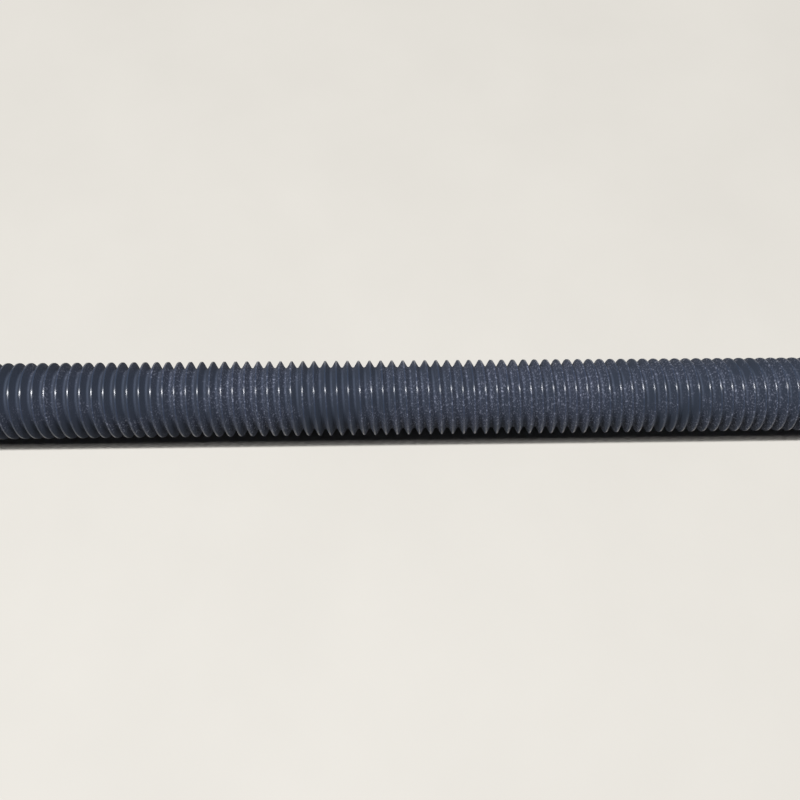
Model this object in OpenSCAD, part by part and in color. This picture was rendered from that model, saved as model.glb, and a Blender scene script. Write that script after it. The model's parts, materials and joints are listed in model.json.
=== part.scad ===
// Threaded rod: a straight length of stiff plastic bar with one metric screw thread from end to end.
// It lies along X, with its origin at the middle of its axis. Sizes are in millimetres.

/* [Rod] */
// Length from one cut end to the other
rod_length = 150; // [40:5:200]
// Width of the 45 degree bevel that takes the thread off each end
end_bevel = 1.2; // [0.4:0.1:2.5]

/* [Thread] */
// Nominal size of the thread, which the nut's own thread is cut to
nominal_d = 12; // [8:0.5:20]
// How much less than nominal the rod measures over its crests, so that a nut runs on freely
allowance = 0.17; // [0:0.01:0.5]
// Distance along the rod from one crest to the next
pitch = 1.75; // [1.25:0.25:2.5]
// Angle between the two flanks of the groove
flank_angle = 60; // [50:1:70]
// Most flat facets that the whole thread may take, shared out among its turns
thread_facets = 12500; // [9000:500:12500]

/* [Hidden] */

pvc_grey = "#48505c";

// A metric groove keeps an eighth of the pitch flat at its crest and, cut for a rounded root, a sixth at its foot.
crest_flat = pitch/8;
root_flat = pitch/6;
flank_run = (pitch - crest_flat - root_flat)/2;
groove_depth = flank_run/tan(flank_angle/2);
major_r = (nominal_d - allowance)/2;
minor_r = major_r - groove_depth;

// One pitch of the rod's outline: [distance along the rod, radius] at each corner, from the middle of a crest's flat.
outline = [
  [-crest_flat/2, major_r],
  [crest_flat/2, major_r],
  [crest_flat/2 + flank_run, minor_r],
  [crest_flat/2 + flank_run + root_flat, minor_r]
];
corners = len(outline);

// The thread is swept past both ends and then cut to length, so every turn left on the rod is whole.
turns_past_end = 2;
turns = 2*(ceil(rod_length/2/pitch) + turns_past_end);

// Each strip between two corners is a pair of triangles at every step round the helix. A turn has a multiple of
// four steps, so that it reaches its full diameter in all four directions.
steps_per_turn = 4*floor(thread_facets/(4*2*corners*turns));
steps = steps_per_turn*turns;

// How far the blank that trims the ends stands clear of the crests.
blank_clearance = 1;

// Corner k of the outline at one step of the helix. The crest that passes the top of the rod is centred on the origin.
function corner(step, k) =
  let(angle = 180 + 360*step/steps_per_turn)
  [
    outline[k].y*cos(angle),
    outline[k].y*sin(angle),
    outline[k].x + pitch*(step/steps_per_turn - turns/2)
  ];

// Place of a corner in the list of points.
function index(step, k) = corners*step + k;

// The next corner along the rod: after the last one it is the first corner of the turn that follows.
function next(step, k) =
  k < corners - 1 ? index(step, k + 1) : index(step + steps_per_turn, 0);

// The flat that closes the end of the sweep, from the hub on the axis out along one pitch of the outline.
function closing_face(hub, step) =
  [hub, for (k = [0:corners - 1]) index(step, k), next(step, corners - 1)];

function reversed(list) = [for (i = [len(list) - 1:-1:0]) list[i]];

// The bar with its thread, along Z and longer than the rod.
module threaded_bar() {
  last_whole = steps - steps_per_turn;
  reach = pitch*(turns/2 + 1);
  hubs = [[0, 0, -reach], [0, 0, reach]];
  points = [
    for (step = [0:steps], k = [0:corners - 1]) corner(step, k),
    each hubs
  ];
  low_hub = index(steps + 1, 0);
  high_hub = low_hub + 1;
  walls = [
    for (step = [0:last_whole - 1], k = [0:corners - 1]) each [
      [index(step, k), next(step, k), index(step + 1, k)],
      [next(step, k), next(step + 1, k), index(step + 1, k)]
    ]
  ];
  low_end = [
    for (step = [0:steps_per_turn - 1]) [low_hub, index(step, 0), index(step + 1, 0)],
    reversed(closing_face(low_hub, 0))
  ];
  high_end = [
    for (step = [last_whole:steps - 1]) [high_hub, index(step + 1, 0), index(step, 0)],
    closing_face(high_hub, last_whole)
  ];
  polyhedron(points, concat(walls, low_end, high_end));
}

// A plain bar of the rod's length, flat at both ends and bevelled there down past the root of the thread.
module blank() {
  half = rod_length/2;
  end_r = major_r - end_bevel;
  body_r = major_r + blank_clearance;
  bevel = body_r - end_r;
  rotate_extrude($fn = 96)
    polygon([
      [0, -half],
      [end_r, -half],
      [body_r, bevel - half],
      [body_r, half - bevel],
      [end_r, half],
      [0, half]
    ]);
}

module threaded_rod() {
  color(pvc_grey)
    rotate([0, 90, 0])
      intersection() {
        threaded_bar();
        blank();
      }
}

threaded_rod();
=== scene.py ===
"""A threaded rod of stiff grey PVC lying on a pale painted bench.

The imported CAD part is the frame: the rod's length, its diameter over the crests and its
place are read from it. The rod itself is modelled again here with its crests and roots
rounded as a thread die leaves them, because the CAD thread is faceted. Sizes are in
metres and angles in radians, unless a name says otherwise.
"""

import json
import logging
import math
from collections.abc import Callable
from dataclasses import dataclass, field
from enum import Enum

import bpy
from mathutils import Euler, Matrix, Vector

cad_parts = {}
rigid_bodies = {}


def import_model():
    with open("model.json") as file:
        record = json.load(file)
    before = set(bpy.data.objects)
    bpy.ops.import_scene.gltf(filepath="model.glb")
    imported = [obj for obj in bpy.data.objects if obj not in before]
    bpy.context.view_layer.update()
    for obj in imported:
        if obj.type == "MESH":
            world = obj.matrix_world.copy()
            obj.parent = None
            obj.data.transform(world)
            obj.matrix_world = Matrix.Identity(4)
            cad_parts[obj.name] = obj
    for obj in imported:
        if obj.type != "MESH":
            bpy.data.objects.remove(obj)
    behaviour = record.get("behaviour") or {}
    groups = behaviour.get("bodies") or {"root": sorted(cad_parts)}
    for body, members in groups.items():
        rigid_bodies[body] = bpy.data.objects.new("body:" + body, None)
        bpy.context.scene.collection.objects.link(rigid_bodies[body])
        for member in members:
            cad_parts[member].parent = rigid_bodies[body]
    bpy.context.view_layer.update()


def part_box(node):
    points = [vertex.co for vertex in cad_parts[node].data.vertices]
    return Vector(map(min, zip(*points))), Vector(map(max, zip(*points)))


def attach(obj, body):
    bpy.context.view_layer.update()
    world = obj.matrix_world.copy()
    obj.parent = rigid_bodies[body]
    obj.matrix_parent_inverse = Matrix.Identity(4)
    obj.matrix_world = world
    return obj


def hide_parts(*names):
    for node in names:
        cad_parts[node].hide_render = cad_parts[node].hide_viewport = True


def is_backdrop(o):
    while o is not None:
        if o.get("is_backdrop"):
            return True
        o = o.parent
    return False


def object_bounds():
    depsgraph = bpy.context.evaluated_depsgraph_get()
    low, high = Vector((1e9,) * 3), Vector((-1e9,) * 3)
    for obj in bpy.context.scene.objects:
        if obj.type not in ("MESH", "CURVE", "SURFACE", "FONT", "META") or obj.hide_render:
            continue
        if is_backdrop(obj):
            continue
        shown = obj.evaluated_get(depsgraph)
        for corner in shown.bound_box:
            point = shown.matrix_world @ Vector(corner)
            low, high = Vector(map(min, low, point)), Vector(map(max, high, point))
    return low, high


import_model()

MM = 0.001
# Points nearer to each other than this are one point
CLOSE = 0.001 * MM
# A cut that passes nearer to a point than this goes through it
ON_CUT = 0.01 * CLOSE
ROD_NODE = "threaded_rod"
ROD_BODY = "root"
# A Mix node's colour sockets go by number, because its others share their names
MIX_FACTOR = 0
MIX_FIRST = 6
MIX_SECOND = 7
MIX_RESULT = 2

log = logging.getLogger("threaded_rod")


class RodEnd(Enum):
    """The two cut ends of the rod, each with the sign of its side along X."""

    LEFT = -1
    RIGHT = 1


class Corner(Enum):
    """The corners of a turn that the die rounds, with the facets each one gets."""

    CREST = 4
    ROOT = 6


# ---------------------------------------------------------------------------
# Helpers
# ---------------------------------------------------------------------------


def linear(hex_colour: str) -> tuple[float, float, float, float]:
    """Turns an sRGB hex colour into the linear colour that a shader takes.

    Args:
        hex_colour: The colour as "#rrggbb".

    Returns:
        Its linear red, green and blue, and a full alpha.
    """
    channels = [int(hex_colour[i : i + 2], 16) / 255 for i in (1, 3, 5)]
    red, green, blue = (
        c / 12.92 if c <= 0.04045 else ((c + 0.055) / 1.055) ** 2.4 for c in channels
    )
    return red, green, blue, 1.0


def select_only(piece: bpy.types.Object) -> None:
    """Selects one object and nothing else, and makes it active.

    Args:
        piece: The object to select.
    """
    for other in bpy.context.view_layer.objects:
        other.select_set(False)
    piece.select_set(True)
    bpy.context.view_layer.objects.active = piece


def select_vertices(
    piece: bpy.types.Object, wanted: Callable[[Vector], bool], mode: str = "VERT"
) -> None:
    """Enters edit mode on a piece with just some of its vertices selected.

    Args:
        piece: The piece, which is then the only one selected and in edit mode.
        wanted: Says whether a vertex at a place is selected.
        mode: The kind of element that the operator after this works on.
    """
    select_only(piece)
    bpy.ops.object.mode_set(mode="EDIT")
    bpy.ops.mesh.select_mode(type="VERT")
    bpy.ops.mesh.select_all(action="DESELECT")
    bpy.ops.object.mode_set(mode="OBJECT")
    for vertex in piece.data.vertices:
        vertex.select = wanted(vertex.co)
    bpy.ops.object.mode_set(mode="EDIT")
    bpy.ops.mesh.select_mode(type=mode)


def round_profile(half_angle: float) -> float:
    """Works out the bevel profile that rounds a corner with an arc of a circle.

    Args:
        half_angle: Half of the angle between the corner's two edges.

    Returns:
        The bevel operator's profile.
    """
    bulge = math.sin(half_angle) / (1 + math.sin(half_angle))
    return ((1 + bulge) / 2) ** 2


def take_new_object(name: str) -> bpy.types.Object:
    """Names the primitive that was just added.

    Args:
        name: The name for the object and its mesh.

    Returns:
        The object.
    """
    made = bpy.context.active_object
    made.name = name
    made.data.name = name
    return made


def add_node(
    tree: bpy.types.NodeTree,
    kind: str,
    settings: dict[str, object] | None = None,
    values: dict[str | int, object] | None = None,
    links: dict[str | int, bpy.types.NodeSocket] | None = None,
) -> bpy.types.Node:
    """Adds a node to a tree, with its settings, its input values and the links into it.

    Args:
        tree: The node tree.
        kind: The node's type name.
        settings: Properties of the node and their values.
        values: Inputs, by name or number, and the constant each one holds.
        links: Inputs, by name or number, and the output socket that feeds each one.

    Returns:
        The new node.
    """
    node = tree.nodes.new(kind)
    for name, value in (settings or {}).items():
        setattr(node, name, value)
    for socket, value in (values or {}).items():
        node.inputs[socket].default_value = value
    for socket, source in (links or {}).items():
        tree.links.new(source, node.inputs[socket])
    return node


def new_material(name: str) -> tuple[bpy.types.Material, bpy.types.NodeTree]:
    """Makes an empty node material.

    Args:
        name: The material's name.

    Returns:
        The material and its node tree, with nothing in it.
    """
    material = bpy.data.materials.new(name)
    material.use_nodes = True
    material.node_tree.nodes.clear()
    return material, material.node_tree


# ---------------------------------------------------------------------------
# Finishes
# ---------------------------------------------------------------------------


@dataclass(frozen=True)
class DieCutPvc:
    """Unplasticised PVC bar in dark blue grey, threaded with a die.

    The bar is extruded in one colour all through, so it shows no edge wear in another
    colour. The die burnishes the crests, which then throw a narrow bright line, and the
    bottom of the groove a little. It tears the flanks in whole stretches, which leaves
    fine glossy specks on a dull ground; their pale colour is painted sparkle, standing
    in for the glints of the torn grain. The ends are faced, so they aren't torn and
    show the rings of the cutter.
    """

    # The bar's two tones, which change slowly along it, and the pale colour of its torn
    # specks, which is painted sparkle
    body_hex: str = "#343e4b"
    pale_hex: str = "#464b5c"
    speck_painted_sparkle_hex: str = "#828696"
    tone_patch: float = 9 * MM

    # Gloss, and how much of the crests' gloss the roots and the specks have
    ior: float = 1.55
    crest_roughness: float = 0.25
    groove_roughness: float = 0.9
    crest_depth: float = 0.08 * MM
    root_height: float = 0.1 * MM
    root_polish: float = 0.05
    speck_polish: float = 0.9

    # Torn stretches, more of them toward the right-hand end, and the specks in them:
    # how high the noise stands where each one starts and where it is full
    tearing_per_metre: float = 1.3
    torn_start: float = 0.41
    torn_full: float = 0.54
    speck_start: float = 0.54
    speck_full: float = 0.7

    # Torn PVC has a grain of about 0.1 mm and real die marks are about 0.02 mm apart;
    # both are drawn coarser, so that they show at all
    torn_grain: float = 0.3 * MM
    torn_depth: float = 0.11 * MM
    die_mark: float = 0.11 * MM
    mark_depth: float = 0.006 * MM

    # How strong the relief is on burnished, untorn and faced plastic
    polished_relief: float = 0.12
    clean_relief: float = 0.25
    faced_relief: float = 4.0

    # How far in from each end the faced plastic reaches, and how softly it stops
    faced_depth: float = 1.2 * MM
    faced_blend: float = 0.12 * MM

    def material(
        self, major_radius: float, minor_radius: float, half_length: float
    ) -> bpy.types.Material:
        """Builds the finish for a rod that lies along X through the origin.

        Args:
            major_radius: The rod's radius over its crests.
            minor_radius: Its radius at the bottom of the groove.
            half_length: Half the rod's length.

        Returns:
            The material.
        """
        material, tree = new_material("die_cut_grey_pvc")
        place = add_node(tree, "ShaderNodeTexCoord").outputs["Object"]
        along = add_node(
            tree, "ShaderNodeSeparateXYZ", links={"Vector": place}
        ).outputs["X"]
        across = add_node(
            tree,
            "ShaderNodeVectorMath",
            {"operation": "MULTIPLY"},
            {1: (0.0, 1.0, 1.0)},
            {0: place},
        ).outputs["Vector"]
        radius = add_node(
            tree, "ShaderNodeVectorMath", {"operation": "LENGTH"}, links={0: across}
        ).outputs["Value"]
        patches = add_node(
            tree,
            "ShaderNodeTexNoise",
            values={"Scale": 1 / self.tone_patch, "Detail": 3.0, "Roughness": 0.6},
            links={"Vector": place},
        ).outputs["Fac"]
        grain = add_node(
            tree,
            "ShaderNodeTexNoise",
            values={"Scale": 1 / self.torn_grain, "Detail": 2.0, "Roughness": 0.5},
            links={"Vector": place},
        ).outputs["Fac"]

        thread = self.threaded_part(tree, along, half_length)
        polish = self.burnished_part(tree, radius, major_radius, minor_radius)
        stretches = self.torn_part(tree, along, patches, thread)
        # The specks' pale colour is painted sparkle, standing in for glints of the torn
        # grain
        specks_and_painted_sparkle = self.torn_specks_and_painted_sparkle(tree, grain, stretches)

        unpolished = add_node(
            tree,
            "ShaderNodeMapRange",
            values={"To Min": 1.0, "To Max": self.polished_relief},
            links={"Value": polish},
        ).outputs["Result"]
        marked = self.marked_normal(tree, radius, unpolished, thread)
        torn = self.torn_normal(tree, grain, unpolished, stretches, marked)

        surface = add_node(
            tree,
            "ShaderNodeBsdfPrincipled",
            values={"IOR": self.ior, "Metallic": 0.0},
            links={
                "Base Color": self.colour(tree, patches, specks_and_painted_sparkle),
                "Roughness": self.roughness(tree, polish, specks_and_painted_sparkle),
                "Normal": torn,
            },
        ).outputs["BSDF"]
        add_node(tree, "ShaderNodeOutputMaterial", links={"Surface": surface})
        return material

    def threaded_part(
        self, tree: bpy.types.NodeTree, along: bpy.types.NodeSocket, half_length: float
    ) -> bpy.types.NodeSocket:
        """Tells the thread from the faced ends.

        Args:
            tree: The material's node tree.
            along: The place along the rod.
            half_length: Half the rod's length.

        Returns:
            1 on the thread and 0 on the faced ends.
        """
        from_middle = add_node(
            tree, "ShaderNodeMath", {"operation": "ABSOLUTE"}, links={0: along}
        ).outputs["Value"]
        inner = half_length - self.faced_depth
        return add_node(
            tree,
            "ShaderNodeMapRange",
            values={
                "From Min": inner,
                "From Max": inner + self.faced_blend,
                "To Min": 1.0,
                "To Max": 0.0,
            },
            links={"Value": from_middle},
        ).outputs["Result"]

    def burnished_part(
        self,
        tree: bpy.types.NodeTree,
        radius: bpy.types.NodeSocket,
        major_radius: float,
        minor_radius: float,
    ) -> bpy.types.NodeSocket:
        """Finds what the die burnished: the crests, and a little the roots.

        Args:
            tree: The material's node tree.
            radius: The distance from the rod's axis.
            major_radius: The rod's radius over its crests.
            minor_radius: Its radius at the bottom of the groove.

        Returns:
            How burnished the plastic is, from 0 to 1.
        """
        crest = add_node(
            tree,
            "ShaderNodeMapRange",
            {"interpolation_type": "SMOOTHSTEP"},
            {"From Min": major_radius - self.crest_depth, "From Max": major_radius},
            {"Value": radius},
        ).outputs["Result"]
        root = add_node(
            tree,
            "ShaderNodeMapRange",
            {"interpolation_type": "SMOOTHSTEP"},
            {
                "From Min": minor_radius + self.root_height,
                "From Max": minor_radius,
                "To Max": self.root_polish,
            },
            {"Value": radius},
        ).outputs["Result"]
        return add_node(
            tree,
            "ShaderNodeMath",
            {"operation": "MAXIMUM"},
            links={0: crest, 1: root},
        ).outputs["Value"]

    def torn_part(
        self,
        tree: bpy.types.NodeTree,
        along: bpy.types.NodeSocket,
        patches: bpy.types.NodeSocket,
        thread: bpy.types.NodeSocket,
    ) -> bpy.types.NodeSocket:
        """Finds the stretches of the thread that the die tore.

        Args:
            tree: The material's node tree.
            along: The place along the rod.
            patches: Noise as coarse as the stretches.
            thread: 1 on the thread and 0 on the faced ends.

        Returns:
            How torn a stretch is, from 0 to 1.
        """
        tearing = add_node(
            tree,
            "ShaderNodeMath",
            {"operation": "MULTIPLY_ADD"},
            {1: self.tearing_per_metre},
            {0: along, 2: patches},
        ).outputs["Value"]
        torn = add_node(
            tree,
            "ShaderNodeMapRange",
            values={"From Min": self.torn_start, "From Max": self.torn_full},
            links={"Value": tearing},
        ).outputs["Result"]
        return add_node(
            tree,
            "ShaderNodeMath",
            {"operation": "MULTIPLY"},
            links={0: torn, 1: thread},
        ).outputs["Value"]

    def torn_specks_and_painted_sparkle(
        self,
        tree: bpy.types.NodeTree,
        grain: bpy.types.NodeSocket,
        stretches: bpy.types.NodeSocket,
    ) -> bpy.types.NodeSocket:
        """Picks glossy specks in the torn stretches, whose paleness is painted sparkle.

        Args:
            tree: The material's node tree.
            grain: Noise as fine as the torn grain.
            stretches: How torn a stretch is.

        Returns:
            How much of a speck and its painted sparkle there is, from 0 to 1.
        """
        raised = add_node(
            tree,
            "ShaderNodeMapRange",
            values={
                "From Min": self.speck_start,
                "From Max": self.speck_full,
                "To Max": self.speck_polish,
            },
            links={"Value": grain},
        ).outputs["Result"]
        return add_node(
            tree,
            "ShaderNodeMath",
            {"operation": "MULTIPLY"},
            links={0: raised, 1: stretches},
        ).outputs["Value"]

    def colour(
        self,
        tree: bpy.types.NodeTree,
        patches: bpy.types.NodeSocket,
        specks_and_painted_sparkle: bpy.types.NodeSocket,
    ) -> bpy.types.NodeSocket:
        """Mixes the bar's two tones, with the specks' pale painted sparkle over them.

        Args:
            tree: The material's node tree.
            patches: Noise that the tone follows.
            specks_and_painted_sparkle: How much of a speck and its painted sparkle there
                is.

        Returns:
            The colour.
        """
        tone = add_node(
            tree,
            "ShaderNodeMix",
            {"data_type": "RGBA"},
            {MIX_FIRST: linear(self.body_hex), MIX_SECOND: linear(self.pale_hex)},
            {MIX_FACTOR: patches},
        ).outputs[MIX_RESULT]
        # Painted sparkle: the specks get a pale colour that stands in for glints of the
        # torn grain
        return add_node(
            tree,
            "ShaderNodeMix",
            {"data_type": "RGBA"},
            {MIX_SECOND: linear(self.speck_painted_sparkle_hex)},
            {MIX_FACTOR: specks_and_painted_sparkle, MIX_FIRST: tone},
        ).outputs[MIX_RESULT]

    def roughness(
        self,
        tree: bpy.types.NodeTree,
        polish: bpy.types.NodeSocket,
        specks_and_painted_sparkle: bpy.types.NodeSocket,
    ) -> bpy.types.NodeSocket:
        """Makes the plastic dull, but glossy on burnished plastic and on specks.

        Args:
            tree: The material's node tree.
            polish: How burnished the plastic is.
            specks_and_painted_sparkle: How much of a speck there is.

        Returns:
            The roughness.
        """
        shine = add_node(
            tree,
            "ShaderNodeMath",
            {"operation": "MAXIMUM"},
            links={0: polish, 1: specks_and_painted_sparkle},
        ).outputs["Value"]
        return add_node(
            tree,
            "ShaderNodeMapRange",
            values={"To Min": self.groove_roughness, "To Max": self.crest_roughness},
            links={"Value": shine},
        ).outputs["Result"]

    def marked_normal(
        self,
        tree: bpy.types.NodeTree,
        radius: bpy.types.NodeSocket,
        unpolished: bpy.types.NodeSocket,
        thread: bpy.types.NodeSocket,
    ) -> bpy.types.NodeSocket:
        """Draws the marks of the tools: rings of one radius, which follow the thread.

        Args:
            tree: The material's node tree.
            radius: The distance from the rod's axis.
            unpolished: How much relief the burnishing has left.
            thread: 1 on the thread and 0 on the faced ends, which keep full marks.

        Returns:
            The normal.
        """
        ring = add_node(
            tree,
            "ShaderNodeMath",
            {"operation": "DIVIDE"},
            {1: self.die_mark},
            {0: radius},
        ).outputs["Value"]
        marks = add_node(
            tree,
            "ShaderNodeTexNoise",
            {"noise_dimensions": "1D"},
            {"Scale": 1.0, "Detail": 1.0},
            {"W": ring},
        ).outputs["Fac"]
        faced = add_node(
            tree,
            "ShaderNodeMapRange",
            values={"To Min": self.faced_relief, "To Max": 1.0},
            links={"Value": thread},
        ).outputs["Result"]
        strength = add_node(
            tree,
            "ShaderNodeMath",
            {"operation": "MULTIPLY"},
            links={0: unpolished, 1: faced},
        ).outputs["Value"]
        return add_node(
            tree,
            "ShaderNodeBump",
            values={"Distance": self.mark_depth},
            links={"Strength": strength, "Height": marks},
        ).outputs["Normal"]

    def torn_normal(
        self,
        tree: bpy.types.NodeTree,
        grain: bpy.types.NodeSocket,
        unpolished: bpy.types.NodeSocket,
        stretches: bpy.types.NodeSocket,
        normal: bpy.types.NodeSocket,
    ) -> bpy.types.NodeSocket:
        """Adds the grain of the cut plastic, which is strongest where it is torn.

        Args:
            tree: The material's node tree.
            grain: Noise as fine as the torn grain.
            unpolished: How much relief the burnishing has left.
            stretches: How torn a stretch is.
            normal: The normal so far.

        Returns:
            The normal.
        """
        rough_cut = add_node(
            tree,
            "ShaderNodeMapRange",
            values={"To Min": self.clean_relief, "To Max": 1.0},
            links={"Value": stretches},
        ).outputs["Result"]
        strength = add_node(
            tree,
            "ShaderNodeMath",
            {"operation": "MULTIPLY"},
            links={0: unpolished, 1: rough_cut},
        ).outputs["Value"]
        return add_node(
            tree,
            "ShaderNodeBump",
            values={"Distance": self.torn_depth},
            links={"Strength": strength, "Height": grain, "Normal": normal},
        ).outputs["Normal"]


@dataclass(frozen=True)
class PaintedBoard:
    """Smooth board painted matt off-white with a roller.

    The paint gives a pale ground with faint clouds in it and a fine stipple.
    """

    paint_hex: str = "#bfbcb6"
    cloud_hex: str = "#b8b5af"
    roughness: float = 0.62
    cloud: float = 28 * MM
    stipple: float = 1.1 * MM
    stipple_depth: float = 0.02 * MM
    stipple_strength: float = 0.6

    def material(self) -> bpy.types.Material:
        """Builds the finish.

        Returns:
            The material.
        """
        material, tree = new_material("matt_white_painted_board")
        place = add_node(tree, "ShaderNodeTexCoord").outputs["Object"]
        clouds = add_node(
            tree,
            "ShaderNodeTexNoise",
            values={"Scale": 1 / self.cloud, "Detail": 4.0, "Roughness": 0.55},
            links={"Vector": place},
        ).outputs["Fac"]
        stipple = add_node(
            tree,
            "ShaderNodeTexNoise",
            values={"Scale": 1 / self.stipple, "Detail": 3.0, "Roughness": 0.6},
            links={"Vector": place},
        ).outputs["Fac"]
        colour = add_node(
            tree,
            "ShaderNodeMix",
            {"data_type": "RGBA"},
            {MIX_FIRST: linear(self.paint_hex), MIX_SECOND: linear(self.cloud_hex)},
            {MIX_FACTOR: clouds},
        ).outputs[MIX_RESULT]
        relief = add_node(
            tree,
            "ShaderNodeBump",
            values={"Strength": self.stipple_strength, "Distance": self.stipple_depth},
            links={"Height": stipple},
        ).outputs["Normal"]
        surface = add_node(
            tree,
            "ShaderNodeBsdfPrincipled",
            values={"Roughness": self.roughness},
            links={"Base Color": colour, "Normal": relief},
        ).outputs["BSDF"]
        add_node(tree, "ShaderNodeOutputMaterial", links={"Surface": surface})
        return material


# ---------------------------------------------------------------------------
# The rod
# ---------------------------------------------------------------------------


@dataclass(frozen=True)
class ThreadForm:
    """One turn of a metric thread, as a cut along the rod shows it.

    The crest is flat with rounded corners, and the bottom of the groove is one full
    round.
    """

    major_radius: float
    pitch: float = 1.75 * MM
    flank_angle: float = math.radians(60)
    crest_rounding: float = 0.025 * MM

    @property
    def crest_flat(self) -> float:
        """The width of the flat crest."""
        return self.pitch / 8

    @property
    def root_flat(self) -> float:
        """The width of a flat root that would be as deep as the rounded one."""
        return self.pitch / 6

    @property
    def half_angle(self) -> float:
        """The angle between one flank and a plane square to the rod."""
        return self.flank_angle / 2

    @property
    def crest_half_angle(self) -> float:
        """Half of the angle between the flat crest and a flank."""
        return (math.pi / 2 + self.half_angle) / 2

    @property
    def minor_radius(self) -> float:
        """The rod's radius at the bottom of the groove."""
        run = (self.pitch - self.crest_flat - self.root_flat) / 2
        return self.major_radius - run / math.tan(self.half_angle)

    @property
    def sharp_radius(self) -> float:
        """The radius where the two flanks would meet, below the rounded bottom."""
        run = (self.pitch - self.crest_flat) / 2
        return self.major_radius - run / math.tan(self.half_angle)

    @property
    def root_rounding(self) -> float:
        """How far up each flank, from where they would meet, the round starts."""
        left_out = self.minor_radius - self.sharp_radius
        arc_radius = left_out / (1 / math.sin(self.half_angle) - 1)
        return arc_radius / math.tan(self.half_angle)

    def outline(self) -> list[tuple[float, float]]:
        """Lists the corners of one turn before rounding.

        Returns:
            Places along the rod and radii, from one crest's middle to the next.
        """
        return [
            (0.0, self.major_radius),
            (self.crest_flat / 2, self.major_radius),
            (self.pitch / 2, self.sharp_radius),
            (self.pitch - self.crest_flat / 2, self.major_radius),
            (self.pitch, self.major_radius),
        ]


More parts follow.
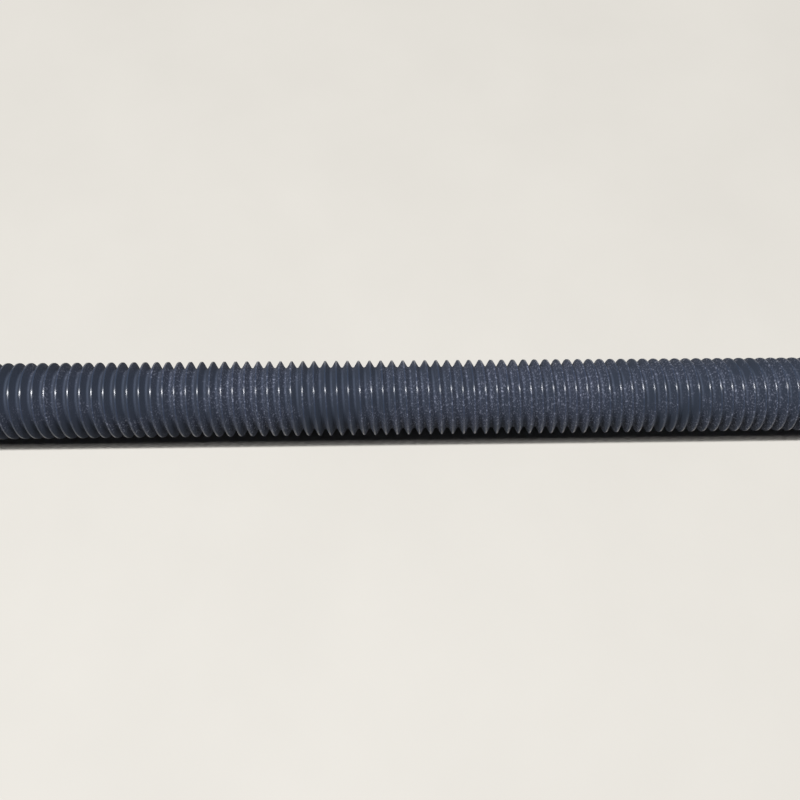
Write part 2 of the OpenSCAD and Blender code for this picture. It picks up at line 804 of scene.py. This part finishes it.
@dataclass
class ThreadedRod:
    """The rod: one thread from end to end, cut square, with a bevel round each cut."""

    low: tuple[float, float, float]
    high: tuple[float, float, float]
    end_bevel: float = 1.2 * MM
    steps_per_turn: int = 60
    rim_facets: int = 120
    # What the uncut thread and the bar that trims it have to spare
    spare_turns: int = 2
    bar_spare: float = 1.0 * MM
    smooth_angle: float = math.radians(40)
    finish: DieCutPvc = field(default_factory=DieCutPvc)

    @property
    def half_length(self) -> float:
        """Half of the rod's length."""
        return (self.high[0] - self.low[0]) / 2

    @property
    def form(self) -> ThreadForm:
        """The thread's form, at the diameter that the CAD part has over its crests."""
        return ThreadForm(major_radius=(self.high[2] - self.low[2]) / 2)

    @property
    def turns_each_side(self) -> int:
        """How many turns are wound on each side of the rod's middle."""
        return math.ceil(self.half_length / self.form.pitch) + self.spare_turns

    def draw_turn(self, name: str) -> bpy.types.Object:
        """Draws the outline of one turn as a line of edges above the rod's axis.

        A plane is merged to one point, which is extruded from corner to corner. The
        bottom of the groove and the corners of the crest are then rounded with a bevel
        each.

        Args:
            name: The new object's name.

        Returns:
            The object that holds the outline.
        """
        form = self.form
        corners = form.outline()
        start = -self.turns_each_side * form.pitch
        bpy.ops.mesh.primitive_plane_add(
            size=form.crest_flat, location=(0.0, 0.0, 0.0)
        )
        turn = take_new_object(name)
        bpy.ops.object.mode_set(mode="EDIT")
        bpy.ops.mesh.select_all(action="SELECT")
        bpy.ops.mesh.merge(type="CENTER")
        first_x, first_radius = corners[0]
        bpy.ops.transform.translate(value=(start + first_x, 0.0, first_radius))
        for (x0, r0), (x1, r1) in zip(corners, corners[1:]):
            bpy.ops.mesh.extrude_region_move(
                TRANSFORM_OT_translate={"value": (x1 - x0, 0.0, r1 - r0)}
            )
        bpy.ops.object.mode_set(mode="OBJECT")
        bottom = start + form.pitch / 2
        crest_edges = [
            start + form.crest_flat / 2,
            start + (form.pitch - form.crest_flat / 2),
        ]
        self.round_corners(
            turn, Corner.ROOT, [bottom], form.root_rounding, form.half_angle
        )
        self.round_corners(
            turn, Corner.CREST, crest_edges, form.crest_rounding, form.crest_half_angle
        )
        return turn

    def round_corners(
        self,
        turn: bpy.types.Object,
        corner: Corner,
        places: list[float],
        reach: float,
        half_angle: float,
    ) -> None:
        """Rounds some corners of the outline.

        Args:
            turn: The object that holds the outline.
            corner: Which corners these are.
            places: The corners' places along X.
            reach: How far along its two edges each rounding starts.
            half_angle: Half of the angle between the corner's two edges.
        """
        select_vertices(turn, lambda at: any(abs(at.x - x) < CLOSE for x in places))
        bpy.ops.mesh.bevel(
            offset=reach,
            segments=corner.value,
            profile=round_profile(half_angle),
            affect="VERTICES",
        )
        bpy.ops.object.mode_set(mode="OBJECT")

    def wind_thread(self, turn: bpy.types.Object) -> None:
        """Winds the outline into one closed thread that runs past both ends.

        Args:
            turn: The object that holds the outline of one turn.
        """
        form = self.form
        winding = turn.modifiers.new("winding", "SCREW")
        winding.axis = "X"
        winding.angle = math.tau
        winding.screw_offset = form.pitch
        winding.iterations = 2 * self.turns_each_side
        winding.steps = self.steps_per_turn
        winding.render_steps = self.steps_per_turn
        select_only(turn)
        bpy.ops.object.modifier_apply(modifier=winding.name)
        bpy.ops.object.mode_set(mode="EDIT")
        bpy.ops.mesh.select_all(action="SELECT")
        bpy.ops.mesh.remove_doubles(threshold=CLOSE)
        for end in RodEnd:
            side = end.value
            bpy.ops.mesh.select_all(action="SELECT")
            bpy.ops.mesh.bisect(
                plane_co=(side * (self.half_length + form.pitch / 2), 0.0, 0.0),
                plane_no=(side, 0.0, 0.0),
                use_fill=True,
                clear_outer=True,
                threshold=ON_CUT,
            )
        bpy.ops.mesh.select_all(action="SELECT")
        bpy.ops.mesh.normals_make_consistent(inside=False)
        bpy.ops.object.mode_set(mode="OBJECT")

    def cut_ends(self, rod: bpy.types.Object) -> None:
        """Cuts the thread to length and bevels both cuts, with a bevelled plain bar.

        Args:
            rod: The object that holds the thread.
        """
        bpy.ops.mesh.primitive_cylinder_add(
            vertices=self.rim_facets,
            radius=self.form.major_radius + self.bar_spare,
            depth=2 * self.half_length,
            rotation=(0.0, math.pi / 2, 0.0),
        )
        bar = take_new_object("plain_bar")
        bpy.ops.object.transform_apply(location=True, rotation=True, scale=True)
        for end in RodEnd:
            select_vertices(bar, lambda at: at.x * end.value > 0, "EDGE")
            bpy.ops.mesh.bevel(
                offset=self.end_bevel + self.bar_spare, segments=1, affect="EDGES"
            )
        bpy.ops.mesh.select_all(action="SELECT")
        bpy.ops.mesh.normals_make_consistent(inside=False)
        bpy.ops.object.mode_set(mode="OBJECT")
        cut = rod.modifiers.new("cut_to_bar", "BOOLEAN")
        cut.operation = "INTERSECT"
        cut.solver = "MANIFOLD"
        cut.object = bar
        select_only(rod)
        bpy.ops.object.modifier_apply(modifier=cut.name)
        bpy.data.objects.remove(bar)

    def smooth(self, rod: bpy.types.Object) -> None:
        """Smooths the shading round the thread and keeps the flanks' shading flat.

        Args:
            rod: The finished mesh.
        """
        select_only(rod)
        bpy.ops.object.shade_smooth_by_angle(angle=self.smooth_angle)
        weighted = rod.modifiers.new("flat_flanks", "WEIGHTED_NORMAL")
        weighted.keep_sharp = True
        bpy.ops.object.modifier_apply(modifier=weighted.name)

    def build(self) -> bpy.types.Object:
        """Models the rod, dresses it and sets it in the frame.

        Returns:
            The finished piece.
        """
        rod = self.draw_turn("pvc_threaded_rod")
        self.wind_thread(rod)
        self.cut_ends(rod)
        self.smooth(rod)
        form = self.form
        rod.data.materials.clear()
        rod.data.materials.append(
            self.finish.material(
                form.major_radius, form.minor_radius, self.half_length
            )
        )
        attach(rod, ROD_BODY)
        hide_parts(ROD_NODE)
        return rod


# ---------------------------------------------------------------------------
# Bench, lights and camera
# ---------------------------------------------------------------------------


@dataclass
class Bench:
    """The pale board that the rod lies on, which isn't part of the rod."""

    top: float
    side: float = 3.0
    finish: PaintedBoard = field(default_factory=PaintedBoard)

    def build(self) -> bpy.types.Object:
        """Lays the board with its top under the rod.

        Returns:
            The board.
        """
        bpy.ops.mesh.primitive_plane_add(size=self.side, location=(0.0, 0.0, self.top))
        board = take_new_object("painted_board")
        bpy.ops.object.transform_apply(location=True, rotation=True, scale=True)
        board.data.materials.append(self.finish.material())
        board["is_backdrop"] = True
        return board


@dataclass(frozen=True)
class Lamp:
    """A strip lamp over the rod and in line with it, aimed at the rod's middle.

    The two angles say how far it is swung from straight overhead.
    """

    name: str
    toward_right: float
    length: float
    watts: float
    toward_front: float = math.radians(1)
    distance: float = 2.0
    width: float = 0.08

    def build(self) -> None:
        """Hangs the lamp."""
        swing = (self.toward_front, self.toward_right, 0.0)
        bpy.ops.object.light_add(
            type="AREA",
            location=Euler(swing).to_matrix() @ Vector((0.0, 0.0, self.distance)),
            rotation=swing,
        )
        lamp = bpy.context.active_object
        lamp.name = self.name
        lamp.data.shape = "RECTANGLE"
        lamp.data.size = self.length
        lamp.data.size_y = self.width
        lamp.data.energy = self.watts


@dataclass
class Studio:
    """The lamps, the dim glow of the room and the pale wall behind everything.

    A long strip lamp hangs nearly overhead. A short one, stronger for its length,
    carries the row on to the left, so that the left-hand turns have their glints too.
    """

    lamps: list[Lamp] = field(
        default_factory=lambda: [
            Lamp("strip_lamp", toward_right=math.radians(10), length=2.2, watts=38.5),
            Lamp("left_lamp", toward_right=math.radians(-28), length=0.58, watts=22.5),
        ]
    )
    room_hex: str = "#cfd3da"
    room_strength: float = 0.04
    wall_hex: str = "#bfc0c1"

    def build(self) -> None:
        """Hangs the lamps, makes the room and sets how its colours are shown."""
        for lamp in self.lamps:
            lamp.build()
        scene = bpy.context.scene
        world = bpy.data.worlds.new("room")
        world.use_nodes = True
        world.node_tree.nodes.clear()
        glow = add_node(
            world.node_tree,
            "ShaderNodeBackground",
            values={"Color": linear(self.room_hex), "Strength": self.room_strength},
        ).outputs["Background"]
        wall = add_node(
            world.node_tree,
            "ShaderNodeBackground",
            values={"Color": linear(self.wall_hex)},
        ).outputs["Background"]
        # The dim glow lights the rod; the pale wall is only looked at
        seen = add_node(world.node_tree, "ShaderNodeLightPath").outputs["Is Camera Ray"]
        room = add_node(
            world.node_tree, "ShaderNodeMixShader", links={0: seen, 1: glow, 2: wall}
        ).outputs["Shader"]
        add_node(world.node_tree, "ShaderNodeOutputWorld", links={"Surface": room})
        scene.world = world
        scene.view_settings.view_transform = "Standard"
        scene.view_settings.look = "Medium High Contrast"


@dataclass(frozen=True)
class FrontCamera:
    """A camera in front of the rod and above it.

    It is set up over the rod, where it leans a little along it, and then swung to the
    front round the rod's axis, so that it keeps its distance.
    """

    along: float = -0.028 * MM
    behind: float = -0.385 * MM
    distance: float = 146.94 * MM
    lean: float = -0.05
    roll: float = -0.0095
    swing: float = math.radians(25)
    sensor_in_mm: float = 36.0
    lens_in_mm: float = 41.57
    shift: float = -0.05
    nearest: float = 0.01
    farthest: float = 10.0

    def build(self) -> None:
        """Sets up the camera and makes it the scene's own."""
        bpy.ops.object.camera_add()
        camera = bpy.context.active_object
        camera.name = "front_camera"
        over = Matrix.Translation((self.along, self.behind, self.distance))
        turned = Euler((0.0, self.lean, self.roll)).to_matrix().to_4x4()
        swung = Matrix.Rotation(self.swing, 4, "X")
        camera.matrix_world = swung @ over @ turned
        camera.data.sensor_width = self.sensor_in_mm
        camera.data.lens = self.lens_in_mm
        camera.data.shift_x = self.shift
        camera.data.clip_start = self.nearest
        camera.data.clip_end = self.farthest
        bpy.context.scene.camera = camera


def report(piece: bpy.types.Object) -> None:
    """Logs a piece's name and how many faces it has.

    Args:
        piece: The finished piece.
    """
    log.info("%s: %d faces", piece.name, len(piece.data.polygons))


def main() -> None:
    """Builds the rod, its bench, the lights and the camera."""
    logging.basicConfig(level=logging.INFO, format="%(name)s: %(message)s")
    low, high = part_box(ROD_NODE)
    report(ThreadedRod(tuple(low), tuple(high)).build())
    report(Bench(top=low.z).build())
    Studio().build()
    FrontCamera().build()
    low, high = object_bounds()


if __name__ == "__main__":
    main()
